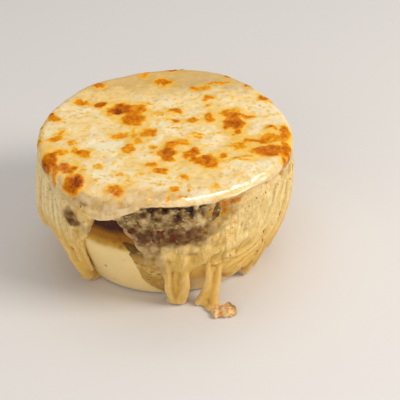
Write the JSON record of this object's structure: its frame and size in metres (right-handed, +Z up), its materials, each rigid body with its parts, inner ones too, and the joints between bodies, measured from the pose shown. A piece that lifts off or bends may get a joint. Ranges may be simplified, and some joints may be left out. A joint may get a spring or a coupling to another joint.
{
  "type": "french onion soup",
  "caption": "Round stoneware crock of french onion soup under a browned lid of melted cheese, which runs down the outside in folds and drips, with onions spilled over the rim at the front.",
  "frame": {"origin": "middle of the crock's foot, on the surface it stands on", "axes": "+Z up; -Y is the front, with the spilled onions and the bare patch of crock; +X is to the right seen from the front"},
  "size_m": [0.1238, 0.123, 0.0638],
  "materials": {
    "crock_glaze": "gloss",
    "onion_soup": "gloss",
    "melted_cheese": "satin"
  },
  "bodies": {
    "root": {"crock": "crock_glaze", "onion_soup": "onion_soup", "melted_cheese": "melted_cheese"}
  },
  "joints": []
}
